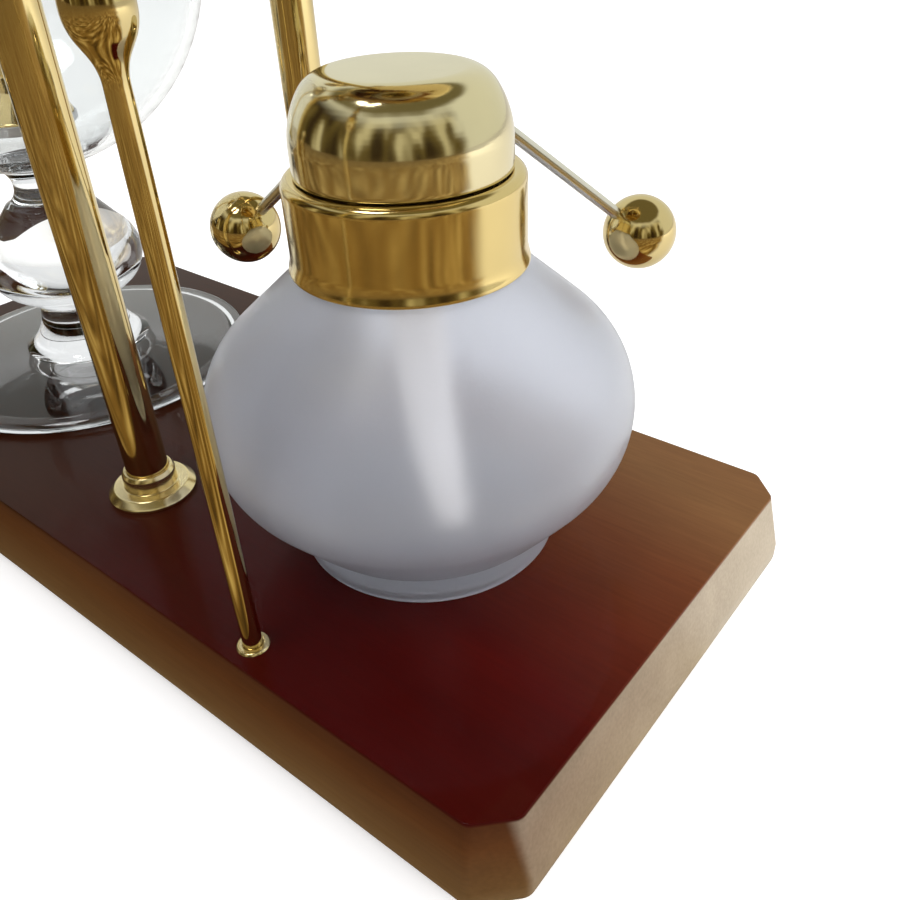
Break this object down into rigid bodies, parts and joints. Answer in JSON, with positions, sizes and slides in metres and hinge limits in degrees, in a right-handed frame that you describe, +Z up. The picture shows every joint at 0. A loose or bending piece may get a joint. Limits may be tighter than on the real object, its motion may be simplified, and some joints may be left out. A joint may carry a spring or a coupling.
{
  "type": "balance siphon coffee maker",
  "caption": "Balance siphon coffee maker on a wooden board: a rocking beam carries the boiler and counterweights over a spirit lamp, beside a glass with a tap.",
  "frame": {"origin": "centre of the pad's underside, on the surface that the board stands on", "axes": "+Z up; +X along the board from the serving glass to the lamp; -Y the tap side"},
  "size_m": [0.269, 0.1487, 0.291],
  "materials": {
    "dark_wood": "satin",
    "rubber_black": "matte",
    "polished_brass": "polished",
    "steel": "satin",
    "frosted_glass": "satin",
    "clear_glass": "polished",
    "cotton": "matte"
  },
  "bodies": {
    "stand": {"base_board": "dark_wood", "base_pad": "rubber_black", "column_front": "polished_brass", "column_back": "polished_brass", "column_flange_front": "polished_brass", "column_flange_back": "polished_brass", "column_washers": "steel", "column_nuts": "steel", "column_head_front": "polished_brass", "column_head_back": "polished_brass", "axle_bush_front": "polished_brass", "axle_bush_back": "polished_brass", "column_finial_front": "polished_brass", "column_finial_back": "polished_brass", "column_bridge": "polished_brass", "stop_pins": "steel", "rest_post": "polished_brass", "rest_post_ferrule": "polished_brass", "rest_cradle": "polished_brass", "serving_glass": "clear_glass", "tap_sleeve": "rubber_black", "tap_body": "polished_brass"},
    "beam": {"beam_axle": "polished_brass", "axle_nuts": "polished_brass", "axle_spacers": "polished_brass", "beam_arm_front": "polished_brass", "beam_arm_back": "polished_brass", "counterweight_front": "polished_brass", "counterweight_back": "polished_brass", "trunnions": "polished_brass", "trunnion_nuts": "polished_brass", "boiler_base": "polished_brass", "boiler_shell": "polished_brass", "boiler_band": "polished_brass", "filler_neck": "polished_brass", "filler_gasket": "rubber_black", "gland_neck": "polished_brass", "tube_stopper": "rubber_black", "siphon_tube": "polished_brass", "filter_head": "polished_brass", "filter_screen": "steel"},
    "filler_cap": {"filler_cap": "polished_brass"},
    "lamp": {"lamp_glass": "frosted_glass", "lamp_collar": "polished_brass", "collar_screws": "steel", "neck_gasket": "rubber_black", "wick_holder": "polished_brass", "wick": "cotton", "hinge_leaf": "polished_brass", "hinge_pin": "steel"},
    "lamp_lid": {"lamp_lid": "polished_brass", "lid_knuckle": "polished_brass", "lid_rod_left": "polished_brass", "lid_rod_right": "polished_brass", "lid_ball_left": "polished_brass", "lid_ball_right": "polished_brass"},
    "tap_key": {"tap_key": "polished_brass"},
    "glass_lid": {"glass_lid": "polished_brass"}
  },
  "joints": [
    {"name": "beam_tilt", "type": "hinge", "parent": "stand", "child": "beam", "pos_m": [0.0065, 0, 0.221], "axis": [0, 1, 0], "range_deg": [0, 6]},
    {"name": "lamp_slide", "type": "slide", "parent": "stand", "child": "lamp", "axis": [1, 0, 0], "range_m": [0, 0.03]},
    {"name": "lamp_lid_swing", "type": "hinge", "parent": "lamp", "child": "lamp_lid", "pos_m": [0.05612, 0.02142, 0.1116], "axis": [-0.8554, -0.518, 0], "range_deg": [0, 100]},
    {"name": "filler_cap_lift", "type": "slide", "parent": "beam", "child": "filler_cap", "axis": [0, 0, 1], "range_m": [0, 0.012]},
    {"name": "glass_lid_lift", "type": "slide", "parent": "stand", "child": "glass_lid", "axis": [0, 0, 1], "range_m": [0, 0.012]},
    {"name": "tap_turn", "type": "hinge", "parent": "stand", "child": "tap_key", "pos_m": [-0.07, -0.071, 0.104], "axis": [0, 0, 1], "range_deg": [0, 90]}
  ]
}
